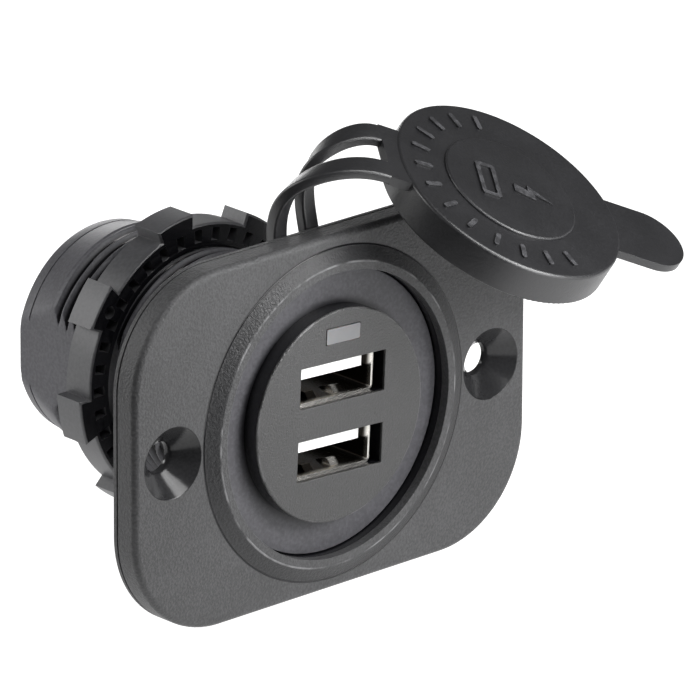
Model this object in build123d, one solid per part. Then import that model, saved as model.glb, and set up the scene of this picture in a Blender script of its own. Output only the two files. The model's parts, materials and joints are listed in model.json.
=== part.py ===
"""Panel-mounted twin charging socket for a vehicle, with a tethered rubber dust cap.

Millimetres. The origin is the centre of the mounting plate's back face, on the socket's axis.
+X is to the right seen from the front, +Y points to the back of the panel and +Z is up,
so the front of the plate faces -Y.
"""
import os
from math import cos, radians, sin

from build123d import *

# driving dimensions: the plate and its screw holes
plate_w, plate_h, plate_t, plate_corner_r = 66.5, 47.0, 4.0, 14.3
plate_edge_r = 0.9
screw_pitch = 54.0
screw_hole_r, screw_head_r = 2.15, 4.7
seam_depth, seam_w, seam_back = 0.2, 0.25, 0.85

# the raised bezel round the socket
bezel_bore_r, bezel_rim_w, bezel_slope_w, bezel_h = 18.8, 1.1, 2.0, 1.0
bezel_top_r = bezel_bore_r + bezel_rim_w
bezel_base_r = bezel_top_r + bezel_slope_w
fit_gap = 0.1
flange_r, flange_t = bezel_bore_r - fit_gap, 1.4
floor_y = -2.6

# the threaded barrel
thread_r, thread_pitch, thread_depth = 15.2, 1.65, 0.95
plate_bore_r = thread_r + 0.2
barrel_bore_r = 12.6
thread_y0, thread_y1 = 4.0, 33.0
taper_y, taper_r = 38.2, 14.35
barrel_end_y, barrel_end_r, barrel_chamfer = 40.2, 14.15, 0.4
flat_x, flat_y0 = 13.5, 3.0

# the charging module
face_r, face_proud = 14.0, 2.5
face_y = floor_y - face_proud
spigot_r, spigot_y = barrel_bore_r - 0.15, 0.6
face_edge_r = 0.3
module_roll = 2.8
port_w, port_h, port_z = 14.3, 5.3, 4.8
opening_x, opening_drop = 0.3, 0.2
window_w, window_h, window_z = 5.7, 2.1, 10.7
shell_w, shell_h, shell_t = 12.9, 5.7, 0.3
shell_recess, shell_len, shell_gap = 1.2, 13.0, 0.2
spring_xs, spring_recess, spring_w, spring_h = (-3.6, 0.8), 0.9, 1.4, 0.75
tongue_w, tongue_t, tongue_z, tongue_recess = 11.5, 1.84, 0.93, 2.6
contact_w, contact_t = 1.0, 0.15
contact_xs = (-3.5, -1.0, 1.0, 3.5)
press_gap = 0.05
board_t, port_board_r = 1.6, barrel_bore_r - press_gap
main_board_gap, board_end_gap = 1.6, 2.9
main_board_w = 2 * (barrel_bore_r - main_board_gap)
coil_r, coil_h, coil_hole_r = 4.0, 4.5, 1.6
can_r, can_h = 3.15, 7.0
chip_w, chip_len, chip_t = 5.0, 6.2, 1.6
blade_w, blade_t, blade_reach, blade_overlap = 6.3, 0.8, 7.0, 6.0
blade_x, blade_tip, blade_hole_r = 5.0, 1.2, 0.85
cover_t, cover_recess = 1.8, 0.8

# the ring nut
nut_y0, nut_t, nut_bore_r = 21.3, 4.8, thread_r + 0.06
nut_r, lug_r, lug_angle, lug_count, lug_turn = 18.3, 19.9, 18.0, 8, 100.8
nut_edge = 0.3
pocket_count, pocket_r, pocket_len, pocket_w, pocket_deep = 36, 16.8, 1.7, 1.2, 2.0
dimple_r, dimple_at = 0.85, 18.1

# the dust cap, open as it hangs beside the plate
cap_r, cap_skirt, cap_top_t, cap_edge_r = 15.95, 4.6, 2.4, 0.5
cap_bore_r = face_r + 0.15
cap_centre = (21.714, -12.625, 26.652)
cap_along = (0.84145, -0.36470, -0.39870)
cap_up = (0.19343, -0.48566, 0.85248)
crown_r, crown_h = 9.25, 0.4
tab_r, tab_reach, tab_t, tab_drop = 5.15, 20.5, 1.1, 0.2
neck_w, neck_reach, neck_t, neck_drop = 10.7, 17.9, 1.3, 0.2
tab_root, neck_root = 8.0, 8.0
rib_count, rib_len, rib_w, rib_h, rib_r = 13, 2.6, 0.7, 0.25, 12.7

# the tether: a ring behind the plate and two straps up to the cap's neck
ring_r, ring_t, ring_back = 18.2, 2.0, 0.0
tether_turn = 5.7
pad_reach, pad_w = 22.0, 8.2
strap_root_w, strap_root_t, strap_neck_w = 2.3, 1.7, 3.3
strap_sunk = 0.5
# each strap: its root's x, how it rises from there, the middle of its bend, its run into the neck
left_strap = (-5.05, (-1.3, 9.2), (-5.0, -3.7, 31.4), 7.1)
right_strap = (0.45, (-1.2, 7.2), (-2.3, 2.0, 31.5), 5.0)


def at_y(y):
    """A drawing plane at height y, seen from the front: local x is X, local y is Z."""
    return Plane.XZ.offset(-y)


def block(sketch, y0, y1):
    """Push a front-view sketch from y1 at the back to y0 at the front."""
    return extrude(at_y(y1) * sketch, amount=y1 - y0)


def turned(*points):
    """A body of revolution about the socket's axis, from (radius, y) points."""
    return revolve(make_face(Polyline(*points, close=True)), Axis.Y)


def drum(r, y0, y1, bore=0.0):
    """A disc, or a ring if it has a bore, between two y values."""
    ring = Circle(r) - Circle(bore) if bore else Circle(r)
    return block(ring, y0, y1)


def rolled(shape):
    """Turn something of the module clockwise with it, seen from the front."""
    return Rot(0, module_roll, 0) * shape


# %% mounting plate
outline = RectangleRounded(plate_w, plate_h, plate_corner_r)
plate = block(outline, -plate_t, 0)
plate = fillet(plate.faces().sort_by(Axis.Y)[0].edges(), plate_edge_r)
inner = offset(outline, -seam_depth)
plate -= block(outline - inner, -seam_back, -seam_back + seam_w)
bezel_y = -plate_t - bezel_h
plate += turned((0, -plate_t + 0.5), (bezel_base_r, -plate_t + 0.5), (bezel_base_r, -plate_t),
                (bezel_top_r, bezel_y), (0, bezel_y))
plate -= drum(bezel_bore_r, bezel_y - 1, floor_y + flange_t)
plate -= drum(plate_bore_r, -plate_t, 1)
sink = screw_head_r - screw_hole_r
screw_cut = drum(screw_hole_r, -plate_t - 1, 1)
screw_cut += turned((0, -plate_t - 0.01), (screw_head_r, -plate_t - 0.01), (screw_head_r, -plate_t),
                    (screw_hole_r, -plate_t + sink), (0, -plate_t + sink))
for side in (-1, 1):
    plate -= Pos(side * screw_pitch / 2, 0, 0) * screw_cut

# %% socket barrel: flange, thread, tapered tail and two flats
thread_root_r = thread_r - thread_depth
thread = []
for k in range(int((thread_y1 - thread_y0) / thread_pitch)):
    y = thread_y0 + k * thread_pitch
    thread += [(thread_r, y + 0.2), (thread_root_r, y + thread_pitch / 2),
               (thread_root_r, y + thread_pitch / 2 + 0.15), (thread_r, y + thread_pitch)]
barrel = turned((0, floor_y), (flange_r, floor_y), (flange_r, floor_y + flange_t),
                (thread_r, floor_y + flange_t), *thread, (taper_r, taper_y),
                (taper_r - 0.15, taper_y), (taper_r - 0.15, taper_y + 0.25), (taper_r, taper_y + 0.25),
                (barrel_end_r, barrel_end_y - barrel_chamfer),
                (barrel_end_r - barrel_chamfer, barrel_end_y), (0, barrel_end_y))
for side in (-1, 1):
    beside = Box(2 * thread_r, 2 * barrel_end_y, 4 * thread_r)
    barrel -= Pos(side * (flat_x + thread_r), flat_y0 + barrel_end_y, 0) * beside
barrel -= drum(barrel_bore_r, floor_y - 1, barrel_end_y + 1)

# %% module face with its two port openings and the indicator window
opening = Sketch() + [Pos(opening_x, z - opening_drop) * Rectangle(port_w, port_h) for z in (port_z, -port_z)]
window = Pos(0, window_z) * Rectangle(window_w, window_h)
module_face = drum(face_r, face_y, floor_y)
module_face = fillet(module_face.faces().sort_by(Axis.Y)[0].edges(), face_edge_r)
module_face += drum(spigot_r, floor_y, spigot_y)
module_face -= rolled(block(opening + window, face_y - 1, spigot_y + 1))
port_front = face_y + shell_recess
for z in (port_z, -port_z):
    behind = Pos(opening_x, z) * Rectangle(port_w, shell_h + 2 * shell_gap)
    module_face -= rolled(block(behind, port_front, spigot_y + 1))
port_back = port_front + shell_len
guide = Pos(0, window_z) * RectangleRounded(window_w - 0.1, window_h - 0.1, 0.2)
indicator_window = rolled(block(guide, face_y - 0.05, port_back - 1.0))
indicator_led = rolled(block(Pos(0, window_z) * Rectangle(1.6, 0.8), port_back - 1.0, port_back))


def port(z):
    """Shell, tongue and contacts of one port whose shell is centred at height z."""
    outer = Pos(0, z) * RectangleRounded(shell_w, shell_h, 2 * shell_t)
    hollow = Pos(0, z) * RectangleRounded(shell_w - 2 * shell_t, shell_h - 2 * shell_t, shell_t)
    shell = block(outer, port_front, port_back) - block(hollow, port_front - 1, port_back - shell_t)
    inside_z = z - shell_h / 2 + shell_t
    for x in spring_xs:
        spring = make_face(Polyline((0, 0), (spring_h, spring_h), (1.5 * spring_h, spring_h),
                                    (4 * spring_h, 0), close=True))
        spring = extrude(Plane.YZ * spring, amount=spring_w)
        shell += Pos(x, port_front + spring_recess, inside_z - shell_t / 10) * spring
    bar = Pos(0, z + tongue_z) * Rectangle(tongue_w, tongue_t)
    tongue = block(bar, face_y + tongue_recess, port_back - shell_t)
    strip_z = z + tongue_z - tongue_t / 2 - contact_t / 2
    strips = [block(Pos(x, strip_z) * Rectangle(contact_w, contact_t),
                    face_y + tongue_recess + 0.9, port_back - shell_t) for x in contact_xs]
    return rolled(shell), rolled(tongue), Compound(children=[rolled(strip) for strip in strips])


upper_shell, upper_tongue, upper_contacts = port(port_z)
lower_shell, lower_tongue, lower_contacts = port(-port_z)

# %% boards and the parts on them, between the ports and the rear cover
cover_y = barrel_end_y - cover_recess - cover_t
port_board = drum(port_board_r, port_back, port_back + board_t)
board_y0 = port_back + board_t
board_y1 = cover_y - board_end_gap
main_board_len = board_y1 - board_y0
main_board = block(Rectangle(main_board_w, board_t), board_y0, board_y1)
board_top = board_t / 2


def standing(radius, height, x, y, up=1):
    """A round part standing on the board's upper or lower side."""
    return Pos(x, y, up * (board_top + height / 2)) * Cylinder(radius, height)


part_x = 0.22 * main_board_w
part_y = board_y0 + 0.27 * main_board_len
inductor = standing(coil_r, coil_h, part_x, part_y)
inductor -= Pos(part_x, part_y, board_top + coil_h) * Cylinder(coil_hole_r, coil_h / 4)
input_capacitor = standing(can_r, can_h, -part_x, part_y)
output_capacitor = standing(can_r, can_h, part_x, part_y, -1)
converter_chip = Pos(-part_x, part_y, -board_top - chip_t / 2) * Box(chip_w, chip_len, chip_t)

# %% rear cover and the two flat terminals through it
rear_cover = drum(barrel_bore_r - press_gap, cover_y, cover_y + cover_t)
blade_z = board_top + blade_t / 2


def terminal(x):
    """A flat blade from the board, through the cover, to its tip behind the barrel."""
    length = barrel_end_y + blade_reach - (board_y1 - blade_overlap)
    blade = Box(blade_w, length, blade_t)
    tip = blade.edges().filter_by(Axis.Z).group_by(Axis.Y)[-1]
    blade = chamfer(tip, blade_tip)
    blade -= Pos(0, (length - blade_w) / 2, 0) * Cylinder(blade_hole_r, 2 * blade_t)
    return Pos(x, barrel_end_y + blade_reach - length / 2, blade_z) * blade


positive_terminal, negative_terminal = terminal(-blade_x), terminal(blade_x)
for x in (-blade_x, blade_x):
    rear_cover -= Pos(x, cover_y, blade_z) * Box(blade_w + fit_gap, 4 * cover_t, blade_t + fit_gap)

# %% ring nut
lug_half = radians(lug_angle / 2)
lug = Polyline((nut_bore_r + 1, -nut_bore_r * sin(lug_half)), (lug_r + 1, -(lug_r + 1) * sin(lug_half)),
               (lug_r + 1, (lug_r + 1) * sin(lug_half)), (nut_bore_r + 1, nut_bore_r * sin(lug_half)),
               close=True)
lug = make_face(lug) & Circle(lug_r)
nut_sketch = Circle(nut_r)
for k in range(lug_count):
    nut_sketch += Rot(0, 0, lug_turn + k * 360 / lug_count) * lug
ring_nut = block(nut_sketch - Circle(nut_bore_r), nut_y0, nut_y0 + nut_t)
for end in (0, -1):
    ring_nut = chamfer(ring_nut.faces().sort_by(Axis.Y)[end].outer_wire().edges(), nut_edge)
pocket = Pos(pocket_r, 0) * Rectangle(pocket_len, pocket_w)
pockets = Sketch() + [Rot(0, 0, k * 360 / pocket_count) * pocket for k in range(pocket_count)]
ring_nut -= block(pockets, nut_y0 - 1, nut_y0 + pocket_deep)
dimple = Rot(0, 0, lug_turn + 360 / lug_count) * Pos(dimple_at, 0) * Circle(dimple_r)
ring_nut -= block(dimple, nut_y0 - 1, nut_y0 + 1.2)

# %% dust cap, drawn on its own plane: local x runs to the tab, local z out of its top
cap_plane = Plane(origin=cap_centre, x_dir=cap_along, z_dir=cap_up)


def on_cap(sketch, low, high):
    """Push a sketch on the cap's plane between two heights over its top face."""
    return extrude(Plane.XY.offset(low) * sketch, amount=high - low)


cap = on_cap(Circle(cap_r), -cap_skirt, 0)
cap = fillet(cap.faces().sort_by(Axis.Z)[-1].edges(), cap_edge_r)
cap = fillet(cap.faces().sort_by(Axis.Z)[0].edges(), 0.25)
tab_face = Pos((tab_reach + tab_root) / 2, 0) * Rectangle(tab_reach - tab_root, 2 * tab_r)
tab_face += Pos(tab_reach, 0) * Circle(tab_r)
cap += on_cap(tab_face, -tab_drop - tab_t, -tab_drop)
neck = Pos(-(neck_reach + neck_root) / 2, 0) * Rectangle(neck_reach - neck_root, neck_w)
cap += on_cap(neck, -neck_drop - neck_t, -neck_drop)
crown = on_cap(Circle(crown_r), -0.5, crown_h)
cap += fillet(crown.faces().sort_by(Axis.Z)[-1].edges(), 0.3)
cap -= on_cap(Circle(cap_bore_r), -cap_skirt - 1, -cap_top_t)
rib = Pos(rib_r, 0) * SlotOverall(rib_len, rib_w)
ribs = Sketch() + [Rot(0, 0, 100 + k * 200 / (rib_count - 1)) * rib for k in range(rib_count)]
cap += on_cap(ribs, -0.3, rib_h)
outlet = RectangleRounded(6.4, 2.8, 0.4) - RectangleRounded(5.2, 1.6, 0.2)
bolt = make_face(Polyline((-0.6, 2.6), (0.9, 2.6), (0.2, 0.6), (1.3, 0.6), (-1.0, -2.8), (-0.2, -0.3),
                          (-1.3, -0.3), close=True))
cap += on_cap(Rot(0, 0, 90) * Pos(0, 3.4) * outlet, crown_h - 0.2, crown_h + rib_h)
cap += on_cap(Rot(0, 0, 90) * Pos(0, -3.0) * bolt, crown_h - 0.2, crown_h + rib_h)
dust_cap = cap_plane.location * cap

# %% tether ring behind the plate, and the two straps
pad = Rot(0, 0, tether_turn) * Pos(0, (pad_reach + ring_r - 1) / 2) * Rectangle(pad_w, pad_reach - ring_r + 1)
cap_ring = block(Circle(ring_r) + pad - Circle(plate_bore_r), ring_back, ring_back + ring_t)
root_side = Vector(cos(radians(tether_turn)), 0, sin(radians(tether_turn)))
neck_side = cap_plane.y_dir


def strap(root_x, rise, bend, run, neck_end):
    """A flat band that rises from the ring, bends over and twists to lie in line with the neck."""
    root = Vector(root_x, ring_back + ring_t / 2, pad_reach - strap_sunk)
    across = neck_end * (neck_w - strap_neck_w) / 2
    depth = -neck_drop - neck_t / 2
    into_neck = cap_plane.from_local_coords(Vector(-neck_reach - run, across, depth))
    end = cap_plane.from_local_coords(Vector(-neck_reach, across, depth))
    curve = Bezier(root, root + Vector(rise[0], 0, rise[1]), Vector(*bend), into_neck, end)
    stations = 11
    sections = []
    for k in range(stations):
        u = k / (stations - 1)
        ahead = (curve % u).normalized()
        side = root_side * (1 - u) + neck_side * u
        side = (side - ahead * side.dot(ahead)).normalized()
        width = strap_root_w + (strap_neck_w - strap_root_w) * u
        thick = strap_root_t + (neck_t - strap_root_t) * u
        sections.append(Plane(origin=curve @ u, x_dir=side, z_dir=ahead) * Rectangle(width, thick))
    return loft(sections) - cap_ring - dust_cap - plate


cap_straps = Compound(children=[strap(*left_strap, -1), strap(*right_strap, 1)])

# %% write every node
nodes = {
    "mounting_plate": plate,
    "socket_barrel": barrel,
    "module_face": module_face,
    "indicator_window": indicator_window,
    "indicator_led": indicator_led,
    "upper_port_shell": upper_shell,
    "lower_port_shell": lower_shell,
    "upper_port_tongue": upper_tongue,
    "lower_port_tongue": lower_tongue,
    "upper_port_contacts": upper_contacts,
    "lower_port_contacts": lower_contacts,
    "port_board": port_board,
    "main_board": main_board,
    "inductor": inductor,
    "input_capacitor": input_capacitor,
    "output_capacitor": output_capacitor,
    "converter_chip": converter_chip,
    "rear_cover": rear_cover,
    "positive_terminal": positive_terminal,
    "negative_terminal": negative_terminal,
    "ring_nut": ring_nut,
    "dust_cap": dust_cap,
    "cap_ring": cap_ring,
    "cap_straps": cap_straps,
}
os.makedirs("parts", exist_ok=True)
for name, shape in nodes.items():
    export_step(shape, f"parts/{name}.step")
    print(f"{name:22s} volume {shape.volume:9.1f} mm3  solids {len(shape.solids())}")
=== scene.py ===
# %% [markdown]
# # A panel-mount charging socket with a tethered dust cap
# The socket is an assembly of moulded plastic, steel port shells and one rubber moulding.
# Its exact shapes come from a packed engineering model, which is loaded first and never moved.
# This lesson gives each piece its finish, and models again the pieces whose look needs more than
# the plain solid has: the real helical thread, the rubber straps, and soft moulded edges.

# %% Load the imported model
import json
import math

import bmesh
import bpy
from mathutils import Matrix, Vector


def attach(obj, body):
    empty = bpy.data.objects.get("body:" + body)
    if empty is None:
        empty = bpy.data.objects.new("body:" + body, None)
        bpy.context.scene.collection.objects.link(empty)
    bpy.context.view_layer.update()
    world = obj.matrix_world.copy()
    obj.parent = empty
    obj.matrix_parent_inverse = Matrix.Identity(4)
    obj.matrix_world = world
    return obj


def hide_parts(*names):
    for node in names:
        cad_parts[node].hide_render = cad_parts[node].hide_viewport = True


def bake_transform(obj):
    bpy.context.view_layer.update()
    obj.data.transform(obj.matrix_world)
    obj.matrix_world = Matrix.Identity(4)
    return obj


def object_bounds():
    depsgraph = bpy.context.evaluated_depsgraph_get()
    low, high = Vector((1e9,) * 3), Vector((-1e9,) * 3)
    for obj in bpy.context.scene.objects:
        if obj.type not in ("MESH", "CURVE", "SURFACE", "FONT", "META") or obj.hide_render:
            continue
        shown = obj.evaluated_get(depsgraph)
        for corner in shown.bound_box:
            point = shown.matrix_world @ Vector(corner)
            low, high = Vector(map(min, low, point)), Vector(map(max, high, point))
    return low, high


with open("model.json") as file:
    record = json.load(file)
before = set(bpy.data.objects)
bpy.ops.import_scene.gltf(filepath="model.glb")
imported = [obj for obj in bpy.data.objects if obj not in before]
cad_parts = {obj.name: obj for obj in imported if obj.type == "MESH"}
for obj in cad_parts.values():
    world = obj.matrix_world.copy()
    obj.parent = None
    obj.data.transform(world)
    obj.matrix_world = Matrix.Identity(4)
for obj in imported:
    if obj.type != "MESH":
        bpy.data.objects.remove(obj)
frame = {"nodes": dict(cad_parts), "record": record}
cad_low, cad_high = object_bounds()
nodes = frame["nodes"]
MM = 0.001
for plain in list(bpy.data.materials):
    bpy.data.materials.remove(plain)
print("loaded", len(nodes), "nodes, box in mm", [round(v / MM, 1) for v in cad_high - cad_low])

# %% [markdown]
# ## Shader maths as plain expressions
# A moulded surface is noise, masks and mixes. Wiring them by hand is hard to read, so a small class
# wraps one node socket and turns + - * and powers into Math nodes. One method adds any other node.

# %% A socket with operators


class Signal:
    """One node socket. Arithmetic on it adds Math nodes to its material."""

    def __init__(self, finish, socket):
        self.finish = finish
        self.socket = socket

    def math(self, operation, *values):
        settings = {"operation": operation}
        return self.finish.node("ShaderNodeMath", settings, dict(enumerate(values)))

    def __add__(self, other):
        return self.math("ADD", self, other)

    def __sub__(self, other):
        return self.math("SUBTRACT", self, other)

    def __mul__(self, other):
        return self.math("MULTIPLY", self, other)

    def __pow__(self, other):
        return self.math("POWER", self, other)

    def __rsub__(self, other):
        return self.math("SUBTRACT", other, self)

    __radd__ = __add__
    __rmul__ = __mul__


# %% A material that grows by one call for each node
# a Mix node has a set of sockets for each data type; these are the places of the colour ones
MIX_FACTOR, MIX_A, MIX_B, MIX_RESULT = 0, 6, 7, 2


class Finish:
    """A material on a Principled shader, with the piece's own coordinates at hand."""

    def __init__(self, name):
        self.material = bpy.data.materials.new(name)
        self.material.use_nodes = True
        self.tree = self.material.node_tree
        self.shader = self.tree.nodes["Principled BSDF"]
        self.place = self.node("ShaderNodeTexCoord", output="Object")

    def node(self, kind, settings=None, inputs=None, output=0):
        """Add a node: first its settings, then its inputs, which are values or other signals."""
        node = self.tree.nodes.new(kind)
        for name, value in (settings or {}).items():
            setattr(node, name, value)
        for name, value in (inputs or {}).items():
            if isinstance(value, Signal):
                self.tree.links.new(value.socket, node.inputs[name])
            else:
                node.inputs[name].default_value = value
        return Signal(self, node.outputs[output])

    def noise(self, size_mm, detail=2.0, stretch=(1, 1, 1)):
        """Noise whose blobs are about size_mm across, from 0 to 1."""
        place = self.node("ShaderNodeMapping", None, {"Vector": self.place, "Scale": stretch})
        wanted = {"Vector": place, "Scale": 1 / (size_mm * MM), "Detail": detail}
        return self.node("ShaderNodeTexNoise", None, wanted, "Fac")

    def step(self, value, low, high):
        """0 below low, 1 above high, smooth between them."""
        wanted = {"Value": value, "From Min": low, "From Max": high}
        return self.node("ShaderNodeMapRange", {"interpolation_type": "SMOOTHSTEP"}, wanted)

    def blend(self, mask, first, second):
        """The first colour where the mask is 0 and the second where it is 1."""
        mix = self.tree.nodes.new("ShaderNodeMix")
        mix.data_type = "RGBA"
        self.tree.links.new(mask.socket, mix.inputs[MIX_FACTOR])
        for slot, colour in ((MIX_A, first), (MIX_B, second)):
            if isinstance(colour, Signal):
                self.tree.links.new(colour.socket, mix.inputs[slot])
            else:
                mix.inputs[slot].default_value = (*colour, 1)
        return Signal(self, mix.outputs[MIX_RESULT])

    def axes(self):
        """The piece's own x, y and z, in millimetres."""
        parts = self.tree.nodes.new("ShaderNodeSeparateXYZ")
        self.tree.links.new(self.place.socket, parts.inputs[0])
        return [Signal(self, socket) * (1 / MM) for socket in parts.outputs]

    def bump(self, height, depth_mm):
        """A normal from a height that runs from 0 to 1 over depth_mm."""
        wanted = {"Height": height, "Distance": depth_mm * MM, "Strength": 1.0}
        return self.node("ShaderNodeBump", None, wanted, "Normal")

    def surface(self, **values):
        """Set the shader's own sockets, such as base_color or roughness."""
        for name, value in values.items():
            socket = self.shader.inputs[name.replace("_", " ").title().replace("Ior", "IOR")]
            if isinstance(value, Signal):
                self.tree.links.new(value.socket, socket)
            elif socket.type == "RGBA":
                socket.default_value = (*value, 1)
            else:
                socket.default_value = value
        return self.material


# %% [markdown]
# ## Moulded plastic
# The plate, module, barrel and nut come out of tools with a spark-eroded texture. Its pits are a
# fraction of a millimetre, so the finish is a fine bump, a faint mottling of the colour, and a
# roughness that wanders a little. One function makes them all, and the sizes tell them apart.

# %% Textured plastic
# the black is painted shade, and the light grey is a painted highlight on edges
SHADE_BLACK, HIGHLIGHT_GREY = (0.004, 0.004, 0.005), (0.2, 0.2, 0.205)
POLISHED_ROUGHNESS, SHADE_ROUGHNESS = 0.2, 0.16


def textured_plastic(name, dark, light, grain_mm, depth_mm, rough, sheen, gloss_mask=None,
                     shade_mask=None, highlight_mask=None):
    """Dark moulded plastic, with masks for its polished parts, for painted black shade that is also
    glossy, and for painted edge highlights.
    """
    finish = Finish(name)
    pits = finish.noise(grain_mm, 3)
    clouds = finish.noise(9, 2)
    mottle = finish.step(pits * 0.7 + clouds * 0.3, 0.35, 0.68)
    roughness = rough + 0.12 * (clouds - 0.5) + 0.1 * (pits - 0.5)
    height = pits
    colour = finish.blend(mottle, dark, light)
    if gloss_mask:
        smooth = gloss_mask(finish)
        roughness = roughness * (1 - smooth) + POLISHED_ROUGHNESS * smooth
        height = height * (1 - smooth)
    # painted shade: the colour goes black where the mask is 1, and the surface turns glossy there
    if shade_mask:
        shade_amount = shade_mask(finish)
        colour = finish.blend(shade_amount, colour, SHADE_BLACK)
        smooth = shade_amount ** 4
        roughness = roughness * (1 - smooth) + SHADE_ROUGHNESS * smooth
        height = height * (1 - smooth)
    # painted highlight: a lighter grey along chosen edges
    if highlight_mask:
        colour = finish.blend(highlight_mask(finish), colour, HIGHLIGHT_GREY)
    return finish.surface(base_color=colour, roughness=roughness, normal=finish.bump(height, depth_mm),
                          specular_ior_level=sheen)


# %% [markdown]
# The socket's axis is y, and its front is towards -y. A part of a piece is found by its distance
# from that axis or by its place along it, so a few small masks serve for all the pieces. Each is 1 in
# the part that it is named for. All their lengths are in millimetres.

# %% Masks from a piece's own coordinates
BLUR = 0.03


def past(finish, place):
    """1 where a point is further back along the axis than a place, and 0 in front of it."""
    x, y, z = finish.axes()
    return finish.step(y, place - BLUR, place + BLUR)


def within(finish, value, middle, half):
    """1 where a length is within half of a middle, fading out over a short way."""
    away = value - middle
    return 1 - finish.step(away.math("ABSOLUTE", away), half * 0.6, half * 1.4)


def from_axis(finish):
    """How far a point is from the socket's axis."""
    x, y, z = finish.axes()
    return (x * x + z * z) ** 0.5


def rim_highlight(radius, front_of, strength):
    """A mask for a painted highlight along a round edge in front of a place, lighter in patches."""
    def mask(finish):
        patches = finish.step(finish.noise(3.5, 2), 0.4, 0.62)
        raised = 1 - past(finish, front_of)
        return within(finish, from_axis(finish), radius, 0.12) * raised * patches * strength
    return mask


# %% The plate: polished in its two countersinks, with painted shade in them and on the bezel's flank, crevice and bore, and a painted highlight on its rim
SCREW_X, SCREW_SINK_R, SINK_SHADE = 27.0, 4.75, 0.7
BEZEL_BORE_R, BEZEL_RIM_R, BEZEL_BASE_R, BEZEL_SHADE = 18.8, 19.9, 21.9, 0.6
BEZEL_FOOT_Y, BEZEL_RIM_Y, BORE_SHADE_Y = -3.9, -4.9, -3.75


def in_countersinks(finish):
    """1 inside the two round sinks and 0 elsewhere."""
    x, y, z = finish.axes()
    across = x.math("ABSOLUTE", x) - SCREW_X
    reach = (across * across + z * z) ** 0.5
    return 1 - finish.step(reach, SCREW_SINK_R - BLUR, SCREW_SINK_R + BLUR)


def bezel_painted_shade(finish):
    """Painted shade: on the bezel's sloping flank in part, in its crevice and on the bore's lower wall
    in full, and mostly in the countersinks.
    """
    radius = from_axis(finish)
    raised = 1 - past(finish, BEZEL_FOOT_Y)
    slope_middle, slope_half = (BEZEL_RIM_R + BEZEL_BASE_R) / 2, (BEZEL_BASE_R - BEZEL_RIM_R) / 2
    shade = within(finish, radius, slope_middle, slope_half * 0.97) * raised * BEZEL_SHADE
    crevice = within(finish, radius, BEZEL_BASE_R, 0.13) * raised
    bore = within(finish, radius, BEZEL_BORE_R, 0.12) * past(finish, BORE_SHADE_Y)
    for other in (crevice, bore, in_countersinks(finish) * SINK_SHADE):
        shade = shade.math("MAXIMUM", shade, other)
    return shade


plate_plastic = textured_plastic("plate_plastic", (0.038, 0.038, 0.039), (0.062, 0.062, 0.064),
                                 0.34, 0.12, 0.5, 0.33, in_countersinks, bezel_painted_shade,
                                 rim_highlight(BEZEL_RIM_R, BEZEL_RIM_Y, 0.7))
print("plate's nodes:", len(plate_plastic.node_tree.nodes))

# %% The module: matt on its face, glossy with painted shade on its side wall and in its two openings, and a painted highlight on its rim
DISC_R, DISC_RIM_R, DISC_RIM_Y, DISC_WALL_Y = 13.9, 13.87, -4.85, -4.77


def disc_wall_shade(finish):
    """Painted shade on the disc's side wall and the walls of its two openings, which are also made
    glossy.
    """
    return past(finish, DISC_WALL_Y)


module_plastic = textured_plastic("module_plastic", (0.006, 0.006, 0.0063), (0.01, 0.01, 0.0105),
                                  0.3, 0.15, 0.5, 0.86, None, disc_wall_shade,
                                  rim_highlight(DISC_RIM_R, DISC_RIM_Y, 0.3))
print("module's nodes:", len(module_plastic.node_tree.nodes))

# %% The barrel and the nut: painted shade in the grooves, round the disc's foot and on the nut's front
THREAD_R, THREAD_END, FLAT_X = 15.2, 34.2, 13.5
FLOOR_BACK_Y, FOOT_SHADE = 0.5, 0.85
NUT_SHADE_Y = 21.34


def barrel_painted_shade(finish):
    """Painted shade inside the thread's grooves, off the flats, and on the recess floor close round the
    disc.
    """
    x, y, z = finish.axes()
    radius = from_axis(finish)
    behind = past(finish, FLOOR_BACK_Y)
    off_flats = 1 - finish.step(x.math("ABSOLUTE", x), FLAT_X - 0.1, FLAT_X - 0.06)
    in_groove = 1 - finish.step(radius, THREAD_R - 0.6, THREAD_R - 0.15)
    threaded = behind * (1 - past(finish, THREAD_END))
    by_disc = 1 - finish.step(radius, DISC_R, DISC_R + 1.3)
    return in_groove * off_flats * threaded + by_disc * (1 - behind) * FOOT_SHADE


def nut_front_shade(finish):
    """Painted shade on the nut's front face, with its pockets."""
    return 1 - past(finish, NUT_SHADE_Y)


barrel_plastic = textured_plastic("barrel_plastic", (0.058, 0.057, 0.063), (0.084, 0.083, 0.091),
                                  0.4, 0.02, 0.46, 0.28, None, barrel_painted_shade)
nut_plastic = textured_plastic("nut_plastic", (0.036, 0.036, 0.039), (0.054, 0.054, 0.058),
                               0.45, 0.012, 0.42, 0.68, None, nut_front_shade)
print("plastics made:", len(bpy.data.materials))

# %% [markdown]
# ## Rubber, steel and the small finishes
# The cap is a soft moulding: blacker than the plastic, satin, with a fine bloom, and painted lighter on
# top of its raised ribs as a highlight. The port shells are bright plated sheet with faint drawing
# lines, painted dark inside as shade but for the springs. The tongues are white nylon with a faint
# painted glow, and the window is frosted.

# %% Rubber
CAP_CENTRE = Vector((21.714, -12.625, 26.652))
CAP_ALONG = Vector((0.84145, -0.36470, -0.39870))
CAP_UP = Vector((0.19343, -0.48566, 0.85248))
RIB_HEIGHT, CAP_MIDDLE_HEIGHT, RIBBED_R = 0.25, 0.4, 14.4


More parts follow.
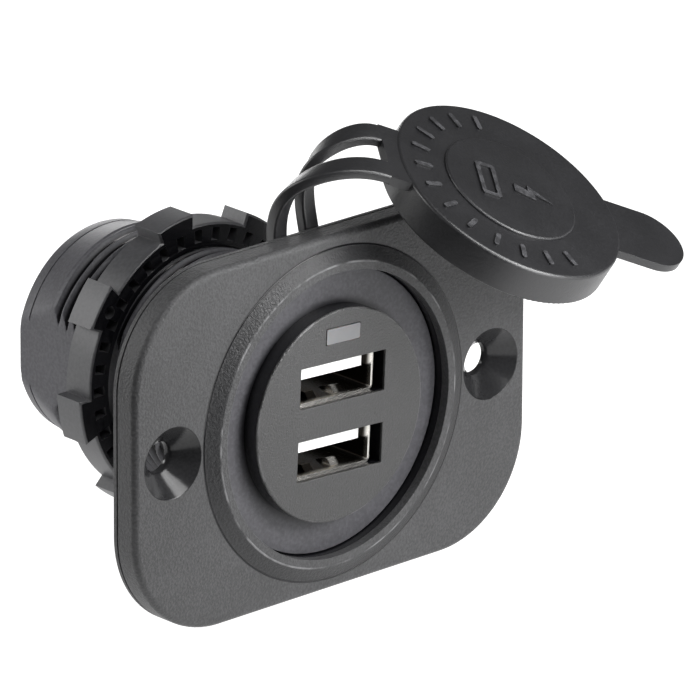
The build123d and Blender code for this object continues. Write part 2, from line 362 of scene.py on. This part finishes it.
def crest_highlights(finish):
    """A painted highlight on the tops of the ribs on the cap's outer ring, and of the motifs on its
    raised middle.
    """
    offsets = [axis - middle for axis, middle in zip(finish.axes(), CAP_CENTRE)]
    height = sum(offset * share for offset, share in zip(offsets, CAP_UP))
    reach = sum(offset * offset for offset in offsets) ** 0.5
    motif_top = CAP_MIDDLE_HEIGHT + RIB_HEIGHT - BLUR
    crests = within(finish, height, RIB_HEIGHT, 0.04) + finish.step(height, motif_top - BLUR, motif_top)
    return crests * (1 - finish.step(reach, RIBBED_R - 0.2, RIBBED_R + 0.2))


def moulded_rubber(name):
    """Near-black satin rubber with a fine skin."""
    finish = Finish(name)
    skin = finish.noise(0.35, 3)
    bloom = finish.noise(6, 3)
    mottle = finish.step(skin * 0.6 + bloom * 0.4, 0.35, 0.7)
    colour = finish.blend(mottle, (0.005, 0.005, 0.006), (0.009, 0.009, 0.0105))
    # painted highlight on the crests, lighter in patches
    patches = 0.35 + 0.65 * finish.step(finish.noise(1.2, 2), 0.38, 0.6)
    colour = finish.blend(crest_highlights(finish) * patches, colour, (0.05, 0.05, 0.054))
    roughness = 0.4 + 0.14 * (bloom - 0.5) + 0.1 * (skin - 0.5)
    return finish.surface(base_color=colour, roughness=roughness, normal=finish.bump(skin, 0.02),
                          specular_ior_level=0.75)


cap_rubber = moulded_rubber("cap_rubber")
print("rubber's nodes:", len(cap_rubber.node_tree.nodes))

# %% Metals
SPRING_X, SPRING_Y, DEEP_SHADE = 0.95, -2.3, (0.03, 0.026, 0.022)


def drawn_metal(name, dark, light, rough, lines=(1, 0.05, 1), shade_past=None):
    """Plated sheet with fine lines along the direction it was drawn in, with painted shade past a depth.
    """
    finish = Finish(name)
    streaks = finish.noise(0.12, 2, lines)
    colour = finish.blend(streaks, dark, light)
    # painted shade: darker deeper inside, except on a strip for the springs
    if shade_past is not None:
        x, y, z = finish.axes()
        depth = finish.step(y, shade_past, shade_past + 0.9)
        spring = within(finish, x, SPRING_X, 0.7) * within(finish, y, SPRING_Y, 0.9)
        colour = finish.blend(depth * (1 - spring), colour, DEEP_SHADE)
    roughness = rough + 0.15 * (streaks - 0.5)
    return finish.surface(base_color=colour, roughness=roughness, metallic=1.0,
                          normal=finish.bump(streaks, 0.004))


port_steel = drawn_metal("port_steel", (0.62, 0.6, 0.56), (0.86, 0.84, 0.8), 0.24, shade_past=-3.85)
contact_metal = drawn_metal("contact_metal", (0.7, 0.5, 0.2), (0.9, 0.7, 0.34), 0.28)
terminal_metal = drawn_metal("terminal_metal", (0.6, 0.56, 0.44), (0.78, 0.74, 0.62), 0.3)
capacitor_can = drawn_metal("capacitor_can", (0.55, 0.55, 0.57), (0.75, 0.75, 0.77), 0.35, (1, 1, 0.05))
print("materials so far:", len(bpy.data.materials))

# %% Pale plastics and the boards


def pale_plastic(name, dark, light, rough, **more):
    """Smooth light plastic or resin with a faint unevenness."""
    finish = Finish(name)
    clouds = finish.noise(1.6, 3)
    colour = finish.blend(clouds, dark, light)
    return finish.surface(base_color=colour, roughness=rough + 0.1 * (clouds - 0.5),
                          normal=finish.bump(clouds, 0.01), **more)


# the tongues glow a little: painted light, as they are no lamp
tongue_plastic = pale_plastic("tongue_plastic", (0.86, 0.86, 0.85), (0.93, 0.93, 0.92), 0.4,
                              emission_color=(1, 1, 1), emission_strength=0.3)
window_diffuser = pale_plastic("window_diffuser", (0.14, 0.14, 0.145), (0.17, 0.17, 0.175), 0.35,
                               subsurface_weight=0.2, subsurface_scale=0.0008)
led_body = pale_plastic("led_body", (0.8, 0.8, 0.7), (0.9, 0.9, 0.82), 0.2)
board_laminate = pale_plastic("board_laminate", (0.01, 0.07, 0.035), (0.015, 0.1, 0.05), 0.35)
inductor_core = pale_plastic("inductor_core", (0.03, 0.03, 0.032), (0.06, 0.06, 0.063), 0.6)
chip_body = pale_plastic("chip_body", (0.012, 0.012, 0.012), (0.022, 0.022, 0.022), 0.5)
print("materials made:", len(bpy.data.materials))

# %% [markdown]
# ## Dressing the engineering solids
# The record names a material slot for every node, and every slot now has a finish of the same name,
# so one loop dresses the whole assembly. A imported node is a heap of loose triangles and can't shade
# softly over its edges. The pieces that show are therefore copied and merged, their edges are softened
# a little, and each copy stands for its node.

# %% Dress every node
finish_of = {entry["node"]: bpy.data.materials[entry["material_slot"]]
             for entry in frame["record"]["subparts"]}
body_of = {node: body for body, members in frame["record"]["behaviour"]["bodies"].items()
           for node in members}
for name, node in nodes.items():
    node.data.materials.clear()
    node.data.materials.append(finish_of[name])
print("dressed", len(nodes), "nodes")

# %% [markdown]
# Plain smooth shading bends the light on a flat face next to a rounding. Each mesh is therefore split
# into regions that hardly turn inside: flats, cylinders and cones are wide ones, and the strips of a
# rounding are narrow. An edge between two wide regions first gets a tiny bevel, because no moulded
# edge is truly sharp. At every corner the wide region then sets the normal, so a rounding takes up the
# whole turn and the flats stay flat.

# %% Normals that keep wide faces true
SAME, CREASE, WIDE = math.radians(7), math.radians(48), 0.5 * MM
SOFTEN_FROM, SOFTEN_TO, SOFTNESS = math.radians(20), math.radians(120), 0.14 * MM


def grouped(count, pairs):
    """The group that each of count items falls in when the items of each pair belong together."""
    leader = list(range(count))

    def top(item):
        while leader[item] != item:
            leader[item] = leader[leader[item]]
            item = leader[item]
        return item

    for first, second in pairs:
        leader[top(first)] = top(second)
    return [top(item) for item in range(count)]


def read_regions(mesh):
    """The two faces at each edge, how far the surface turns there, and each face's region's width."""
    faces = mesh.polygons
    sides = {tuple(sorted(edge.vertices)): [] for edge in mesh.edges}
    for face in faces:
        for ends in face.edge_keys:
            sides[tuple(sorted(ends))].append(face.index)
    turn = {ends: faces[pair[0]].normal.angle(faces[pair[1]].normal, math.pi)
            for ends, pair in sides.items() if len(pair) == 2}
    region = grouped(len(faces), [sides[ends] for ends, angle in turn.items() if angle < SAME])
    area, rim = [0.0] * len(faces), [1e-9] * len(faces)
    for face in faces:
        area[region[face.index]] += face.area
    for (start, end), pair in sides.items():
        if len({region[face] for face in pair}) > 1:
            length = (mesh.vertices[start].co - mesh.vertices[end].co).length
            for face in pair:
                rim[region[face]] += length
    return sides, turn, [2 * area[region[k]] / rim[region[k]] for k in range(len(faces))]


def crisp_normals(mesh):
    """Set a mesh's sharp edges and corner normals from the regions it is made of."""
    mesh.shade_smooth()
    faces, corners = mesh.polygons, {}
    for face in faces:
        for corner in face.loop_indices:
            corners[face.index, mesh.loops[corner].vertex_index] = corner
    sides, turn, width = read_regions(mesh)
    joins = []
    for edge in mesh.edges:
        ends = tuple(sorted(edge.vertices))
        pair = sides[ends]
        angle = turn.get(ends, math.pi)
        wide = angle > SAME and min(width[face] for face in pair) > WIDE
        edge.use_edge_sharp = angle > CREASE or wide
        if not edge.use_edge_sharp:
            joins += [[corners[face, point] for face in pair] for point in ends]
    fan = grouped(len(mesh.loops), joins)
    total = {}
    for face in faces:
        for corner in face.loop_indices:
            pull = face.normal * (width[face.index] ** 2 + 1e-12) * face.area
            total[fan[corner]] = total.get(fan[corner], Vector()) + pull
    mesh.normals_split_custom_set([total[fan[k]].normalized() for k in range(len(mesh.loops))])


def soften_edges(mesh):
    """Bevel every outer or inner edge between two wide regions by a fraction of a millimetre."""
    sides, turn, width = read_regions(mesh)
    chosen = {ends for ends, angle in turn.items()
              if SOFTEN_FROM < angle < SOFTEN_TO and min(width[face] for face in sides[ends]) > WIDE}
    work = bmesh.new()
    work.from_mesh(mesh)
    edges = [edge for edge in work.edges if tuple(sorted(vert.index for vert in edge.verts)) in chosen]
    bmesh.ops.bevel(work, geom=edges, offset=SOFTNESS, segments=2, profile=0.5, affect="EDGES",
                    clamp_overlap=True, offset_type="WIDTH")
    work.to_mesh(mesh)
    work.free()


print("edges softened by", SOFTNESS / MM, "mm")

# %% Softly shaded copies


def add_piece(name, mesh, node):
    """Put a finished mesh in the scene as the piece that stands for a node."""
    mesh.materials.clear()
    mesh.materials.append(finish_of[node])
    piece = bpy.data.objects.new(name, mesh)
    bpy.context.scene.collection.objects.link(piece)
    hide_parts(node)
    return piece


def soft_copy(node, name):
    """A merged copy of a node with softened edges, which shades smoothly and stays flat on its flats."""
    work = bmesh.new()
    work.from_mesh(nodes[node].data)
    bmesh.ops.remove_doubles(work, verts=work.verts, dist=0.002 * MM)
    mesh = bpy.data.meshes.new(name)
    work.to_mesh(mesh)
    work.free()
    soften_edges(mesh)
    crisp_normals(mesh)
    piece = add_piece(name, mesh, node)
    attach(piece, body_of[node])
    return piece


for node, name in (("mounting_plate", "moulded_plate"), ("module_face", "module_disc"),
                   ("ring_nut", "lugged_nut"), ("dust_cap", "rubber_cap"), ("cap_ring", "tether_ring")):
    print(name, "has", len(soft_copy(node, name).data.polygons), "faces")

# %% [markdown]
# ## The helical thread
# The barrel's thread follows a rule: its radius depends on how far a point is along the axis and
# round it. That is a job for Geometry Nodes. A plain turned tube is made first, with closely spaced
# rings where the thread runs. The tree then pulls each point in by the groove's depth, and last
# presses the two sides flat, which ends the threads in points as a mill does.

# %% The plain barrel
RINGS_PER_PITCH = 12
AROUND = 168
PITCH, THREAD_DEPTH, THREAD_START = 1.65, 0.95, 1.2
FLANGE_R, FLANGE_FRONT, FLANGE_BACK = 18.7, -2.6, -1.2
BORE_R, BARREL_END = 12.6, 40.2


def barrel_profile():
    """Radius and y of each ring, from the bore's front edge round the outside and back."""
    rings = [(BORE_R, FLANGE_FRONT), (FLANGE_R - 0.1, FLANGE_FRONT), (FLANGE_R, FLANGE_FRONT + 0.1),
             (FLANGE_R, FLANGE_BACK), (THREAD_R, FLANGE_BACK)]
    count = int((THREAD_END - THREAD_START) / PITCH * RINGS_PER_PITCH)
    for k in range(count + 1):
        rings.append((THREAD_R, THREAD_START + (THREAD_END - THREAD_START) * k / count))
    rings += [(14.75, 36.2), (14.35, 38.1), (14.33, 38.2), (14.2, 38.22), (14.2, 38.42), (14.32, 38.45),
              (14.15, 39.8), (14.05, 40.05), (13.8, BARREL_END), (BORE_R + 0.2, BARREL_END),
              (BORE_R, BARREL_END - 0.2)]
    return rings


def turned_mesh(name, rings):
    """A closed tube of revolution about the Y axis from (radius, y) rings."""
    work = bmesh.new()
    loops = []
    for radius, y in rings:
        loop = []
        for k in range(AROUND):
            angle = 2 * math.pi * k / AROUND
            place = (radius * math.cos(angle) * MM, y * MM, radius * math.sin(angle) * MM)
            loop.append(work.verts.new(place))
        loops.append(loop)
    for first, second in zip(loops, loops[1:] + loops[:1]):
        for k in range(AROUND):
            after = (k + 1) % AROUND
            work.faces.new((first[k], first[after], second[after], second[k]))
    bmesh.ops.recalc_face_normals(work, faces=work.faces)
    mesh = bpy.data.meshes.new(name)
    work.to_mesh(mesh)
    work.free()
    return mesh


barrel = add_piece("threaded_barrel", turned_mesh("threaded_barrel", barrel_profile()), "socket_barrel")
print("plain barrel:", len(barrel.data.vertices), "points")

# %% [markdown]
# The tree is written with the same kind of expressions as the materials. Its sizes are named inputs,
# so the same tree would cut another pitch or depth. Sizes inside a tree are in metres, as meshes are.

# %% A field with operators for Geometry Nodes


class Field:
    """One Geometry Nodes socket. Arithmetic on it adds Math nodes to its tree."""

    def __init__(self, tree, socket):
        self.tree = tree
        self.socket = socket

    def node(self, kind, settings=None, inputs=None, output=0):
        """Add a node to this field's tree."""
        return grow(self.tree, kind, settings, inputs, output)

    def math(self, operation, *values):
        return self.node("ShaderNodeMath", {"operation": operation}, dict(enumerate(values)))

    def __add__(self, other):
        return self.math("ADD", self, other)

    def __sub__(self, other):
        return self.math("SUBTRACT", self, other)

    def __mul__(self, other):
        return self.math("MULTIPLY", self, other)

    def __truediv__(self, other):
        return self.math("DIVIDE", self, other)

    def __rsub__(self, other):
        return self.math("SUBTRACT", other, self)


def grow(tree, kind, settings=None, inputs=None, output=0):
    """Add a node to a geometry tree and return one of its outputs as a field."""
    node = tree.nodes.new(kind)
    for name, value in (settings or {}).items():
        setattr(node, name, value)
    for name, value in (inputs or {}).items():
        if isinstance(value, Field):
            tree.links.new(value.socket, node.inputs[name])
        else:
            node.inputs[name].default_value = value
    return Field(tree, node.outputs[output])


def new_tree(name, sizes):
    """A geometry tree with a Geometry input and output and one named number for each size."""
    tree = bpy.data.node_groups.new(name, "GeometryNodeTree")
    tree.interface.new_socket(name="Geometry", in_out="INPUT", socket_type="NodeSocketGeometry")
    for size in sizes:
        tree.interface.new_socket(name=size, in_out="INPUT", socket_type="NodeSocketFloat")
    tree.interface.new_socket(name="Geometry", in_out="OUTPUT", socket_type="NodeSocketGeometry")
    source = tree.nodes.new("NodeGroupInput")
    given = {socket.name: Field(tree, socket) for socket in source.outputs if socket.name}
    return tree, given


def close_tree(tree, shape, material):
    """End a tree: real meshes instead of instances, one material, then the output."""
    shape = grow(tree, "GeometryNodeRealizeInstances", None, {"Geometry": shape})
    shape = grow(tree, "GeometryNodeSetMaterial", None, {"Geometry": shape, "Material": material})
    sink = tree.nodes.new("NodeGroupOutput")
    tree.links.new(shape.socket, sink.inputs["Geometry"])


def bake_tree(piece, tree, sizes):
    """Run a tree on a piece with these sizes, and keep the result as the piece's plain mesh."""
    modifier = piece.modifiers.new(tree.name, "NODES")
    modifier.node_group = tree
    for socket in tree.interface.items_tree:
        if socket.in_out == "INPUT" and socket.name in sizes:
            modifier[socket.identifier] = float(sizes[socket.name])
    evaluated = piece.evaluated_get(bpy.context.evaluated_depsgraph_get())
    mesh = bpy.data.meshes.new_from_object(evaluated)
    piece.modifiers.remove(modifier)
    piece.data = mesh
    return mesh


# %% The thread's rule
GROOVE_TOP, GROOVE_SLOPE, CREST_SLACK = 1.12, 2.6, 0.05 * MM
FLATS_FROM, NO_LIMIT, BARREL_CREASE = 4 * MM, 1.0, math.radians(22)
thread_sizes = {"Pitch": PITCH * MM, "Depth": THREAD_DEPTH * MM, "Start": THREAD_START * MM,
                "End": THREAD_END * MM, "Crest radius": THREAD_R * MM, "Half width": FLAT_X * MM}
thread_tree, given = new_tree("cut_thread", thread_sizes)
place = grow(thread_tree, "GeometryNodeInputPosition")
split = thread_tree.nodes.new("ShaderNodeSeparateXYZ")
thread_tree.links.new(place.socket, split.inputs[0])
x, y, z = (Field(thread_tree, socket) for socket in split.outputs)
angle = z.math("ARCTAN2", z, x)
radius = x.math("SQRT", x * x + z * z)
turns = y / given["Pitch"] - angle * (1 / (2 * math.pi))
phase = turns.math("FRACT", turns)
slope = (phase - 0.5).math("ABSOLUTE", phase - 0.5)
groove = grow(thread_tree, "ShaderNodeClamp", None, {0: GROOVE_TOP - slope * GROOVE_SLOPE})
lead_in = grow(thread_tree, "ShaderNodeClamp", None, {0: (y - given["Start"]) / given["Pitch"]})
lead_out = grow(thread_tree, "ShaderNodeClamp", None, {0: (given["End"] - y) / given["Pitch"]})
outside = radius.math("GREATER_THAN", radius, given["Crest radius"] - CREST_SLACK)
near_crest = radius.math("LESS_THAN", radius, given["Crest radius"] + CREST_SLACK)
cut = given["Depth"] * groove * lead_in * lead_out * outside * near_crest
scale = (radius - cut) / radius
behind = y.math("GREATER_THAN", y, FLATS_FROM)
limit = given["Half width"] * behind + (1 - behind) * NO_LIMIT
pressed_x = x.math("MINIMUM", x * scale, limit)
pressed_x = x.math("MAXIMUM", pressed_x, limit * -1.0)
moved = grow(thread_tree, "ShaderNodeCombineXYZ", None, {0: pressed_x, 1: y, 2: z * scale})
shape = grow(thread_tree, "GeometryNodeSetPosition", None,
             {"Geometry": given["Geometry"], "Position": moved})
close_tree(thread_tree, shape, barrel_plastic)
bake_tree(barrel, thread_tree, thread_sizes)
barrel.data.shade_smooth()
barrel.data.set_sharp_from_angle(angle=BARREL_CREASE)
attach(barrel, "socket")
print("threaded barrel:", len(barrel.data.polygons), "faces")

# %% [markdown]
# ## The rubber straps
# Two straps lead from the ring behind the plate up and over to the cap's neck. They are moulded bands
# with rounded edges that bend and twist. Each is swept along one smooth curve, with its wide side
# turning from the ring's direction to the neck's. They cross the joint, from the socket to the cap.

# %% Sweep the straps
ROOT_SIZE, NECK_SIZE, STRAP_EDGE = (2.3, 1.7), (3.3, 1.3), 0.35
STRAP_STATIONS, CORNER_STEPS = 56, 5
TETHER_TURN, STRAP_CREASE = math.radians(5.7), math.radians(50)
RING_SIDE = Vector((math.cos(TETHER_TURN), 0, math.sin(TETHER_TURN)))
NECK_SIDE = CAP_UP.cross(CAP_ALONG)
NECK_REACH, NECK_W, NECK_DEPTH = 17.9, 10.7, 0.85


def strap_route(root_x, rise, bend, run, neck_end):
    """The five control points of a strap: up out of the ring, over, and in line into the neck."""
    root = Vector((root_x, 1.0, 21.5))
    across = neck_end * (NECK_W - NECK_SIZE[0]) / 2
    end = CAP_CENTRE - CAP_ALONG * NECK_REACH + NECK_SIDE * across - CAP_UP * NECK_DEPTH
    return root, root + Vector(rise), Vector(bend), end - CAP_ALONG * run, end


STRAP_LEFT = strap_route(-5.05, (-1.3, 0, 9.2), (-5.0, -3.7, 31.4), 7.1, -1)
STRAP_RIGHT = strap_route(0.45, (-1.2, 0, 7.2), (-2.3, 2.0, 31.5), 5.0, 1)


def along_curve(points, u):
    """The point and direction at share u, by halving the polygon of control points over and over."""
    while len(points) > 2:
        points = [a.lerp(b, u) for a, b in zip(points, points[1:])]
    return points[0].lerp(points[1], u), (points[1] - points[0]).normalized()


def rounded_section(width, height, edge):
    """Points round a rectangle with round corners."""
    points = []
    for corner, (sx, sy) in enumerate(((1, 1), (-1, 1), (-1, -1), (1, -1))):
        for k in range(CORNER_STEPS):
            turn = math.radians(90 * corner + 90 * k / (CORNER_STEPS - 1))
            points.append((sx * (width / 2 - edge) + edge * math.cos(turn),
                           sy * (height / 2 - edge) + edge * math.sin(turn)))
    return points


def sweep_strap(work, points):
    """Add one strap to the mesh being made."""
    loops = []
    for k in range(STRAP_STATIONS + 1):
        u = k / STRAP_STATIONS
        width, thick = (a + (b - a) * u for a, b in zip(ROOT_SIZE, NECK_SIZE))
        section = rounded_section(width, thick, STRAP_EDGE)
        spot, ahead = along_curve(points, u)
        side = RING_SIDE * (1 - u) + NECK_SIDE * u
        side = (side - ahead * side.dot(ahead)).normalized()
        over = ahead.cross(side)
        loops.append([work.verts.new((spot + side * a + over * b) * MM) for a, b in section])
    for first, second in zip(loops, loops[1:]):
        for k in range(len(section)):
            after = (k + 1) % len(section)
            work.faces.new((first[k], first[after], second[after], second[k]))
    work.faces.new(loops[0])
    work.faces.new(loops[-1])


work = bmesh.new()
sweep_strap(work, STRAP_LEFT)
sweep_strap(work, STRAP_RIGHT)
bmesh.ops.recalc_face_normals(work, faces=work.faces)
strap_mesh = bpy.data.meshes.new("rubber_straps")
work.to_mesh(strap_mesh)
work.free()
strap_mesh.shade_smooth()
strap_mesh.set_sharp_from_angle(angle=STRAP_CREASE)
straps = add_piece("rubber_straps", strap_mesh, "cap_straps")
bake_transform(straps)
print("straps:", len(strap_mesh.polygons), "faces")

# %% [markdown]
# ## Floor, light and camera
# The socket is shown as a catalogue would: on a white floor in soft light, with a long lens from the
# left and above. A dark cloth lies before it and a bright card at its front right. The camera doesn't
# see them. They only show in the gloss, and so the faces that look their way turn dark and bright.
# A far wider ground, which throws no light, fills the picture from every other side.

# %% Floor
YAW = math.radians(42.935)
ACROSS = Vector((math.cos(YAW), -math.sin(YAW), 0))
TOWARD = Vector((-math.sin(YAW), -math.cos(YAW), 0))
FLOOR_GAP, SHEET_STEP = 0.5 * MM, 0.1 * MM


def sheet_finish(name, fibre_mm, dark, light, roughness, glow=0.0):
    """Plain paper or cloth, which may glow a little."""
    finish = Finish(name)
    colour = finish.blend(finish.noise(fibre_mm, 2), (dark,) * 3, (light,) * 3)
    return finish.surface(base_color=colour, roughness=roughness, emission_color=(1, 1, 1),
                          emission_strength=glow)


def lay_down(name, material, across, toward, layer, seen=True, lights=True):
    """A rectangle on the floor, between two places across the view and two towards the camera."""
    base = Vector((0, 0, cad_low.z - FLOOR_GAP + layer * SHEET_STEP))
    ends = ((0, 0), (1, 0), (1, 1), (0, 1))
    corners = [base + ACROSS * across[i] + TOWARD * toward[j] for i, j in ends]
    mesh = bpy.data.meshes.new(name)
    mesh.from_pydata(corners, [], [(3, 2, 1, 0)])
    mesh.materials.append(material)
    sheet = bpy.data.objects.new(name, mesh)
    bpy.context.scene.collection.objects.link(sheet)
    sheet.visible_camera = seen
    sheet.visible_diffuse = sheet.visible_glossy = lights


floor_paper = sheet_finish("studio_floor", 3, 0.29, 0.31, 0.8, glow=1.0)
black_felt = sheet_finish("dark_cloth", 1, 0.01, 0.02, 0.9)
bright_card = sheet_finish("white_card", 2, 0.28, 0.32, 0.8, glow=3.0)
lay_down("wide_ground", floor_paper, (-4, 4), (-4, 4), 0, lights=False)
lay_down("studio_floor", floor_paper, (-0.45, 0.45), (-0.45, 0.45), 1)
lay_down("dark_cloth", black_felt, (-0.45, 0.45), (0.048, 0.5), 2, seen=False)
lay_down("white_card", bright_card, (0.06, 0.28), (0.05, 0.14), 3, seen=False)
print("floor at", round(cad_low.z - FLOOR_GAP, 4))

# %% Lights
SOFTBOX, NEAR_BOX, ROOM_LIGHT = 0.16, 0.05, 0.18


def soft_light(name, place, power, size=SOFTBOX, target=(0, 0, 0)):
    """A square softbox at a place, pointed at a target, both in metres."""
    light = bpy.data.lights.new(name, "AREA")
    light.shape = "SQUARE"
    light.size = size
    light.energy = power
    lamp = bpy.data.objects.new(name, light)
    lamp.location = place
    lamp.rotation_euler = (Vector(target) - Vector(place)).to_track_quat("-Z", "Y").to_euler()
    bpy.context.scene.collection.objects.link(lamp)


soft_light("front_right_light", (0.2165, -0.375, 0.25), 1.28)
soft_light("front_right_top_light", (0.143, -0.248, 0.41), 0.73)
soft_light("front_top_light", (0, -0.287, 0.41), 0.7)
soft_light("near_right_light", (0.0277, -0.0804, 0.04), 0.073, NEAR_BOX, (0.02, -0.004, 0))
soft_light("left_side_light", (-0.375, 0.2165, 0.25), 0.82)
soft_light("left_back_light", (-0.2165, 0.375, 0.25), 0.25)
soft_light("left_low_light", (-0.248, 0.429, 0.07), 0.44)
soft_light("right_low_light", (0.248, 0.429, 0.07), 0.4)
world = bpy.data.worlds.new("soft_studio")
world.use_nodes = True
world.node_tree.nodes["Background"].inputs["Color"].default_value = (1, 1, 1, 1)
world.node_tree.nodes["Background"].inputs["Strength"].default_value = ROOM_LIGHT
bpy.context.scene.world = world
bpy.context.scene.view_settings.view_transform = "Standard"
print("lights:", len(bpy.data.lights))

# %% Camera
PITCH_DOWN, ROLL = math.radians(19.781), math.radians(0.304)
DISTANCE, SHIFT_RIGHT, SHIFT_UP, PLATE_FRONT = 1161.25, 1.966, 7.890, -4.0
LENS, SENSOR = 477.98, 36.0
back = TOWARD * math.cos(PITCH_DOWN) + Vector((0, 0, math.sin(PITCH_DOWN)))
right = ACROSS
up = back.cross(right)
rolled_right = right * math.cos(ROLL) + up * math.sin(ROLL)
rolled_up = up * math.cos(ROLL) - right * math.sin(ROLL)
eye = right * SHIFT_RIGHT + up * SHIFT_UP + back * DISTANCE + Vector((0, PLATE_FRONT, 0))
camera_data = bpy.data.cameras.new("view_camera")
camera_data.lens = LENS
camera_data.sensor_width = SENSOR
camera_data.clip_start = 0.01
camera_data.clip_end = 20
camera = bpy.data.objects.new("view_camera", camera_data)
turn = Matrix((rolled_right, rolled_up, back)).transposed().to_4x4()
camera.matrix_world = Matrix.Translation(eye * MM) @ turn
bpy.context.scene.collection.objects.link(camera)
bpy.context.scene.camera = camera
print("camera at", [round(v, 3) for v in eye * MM])
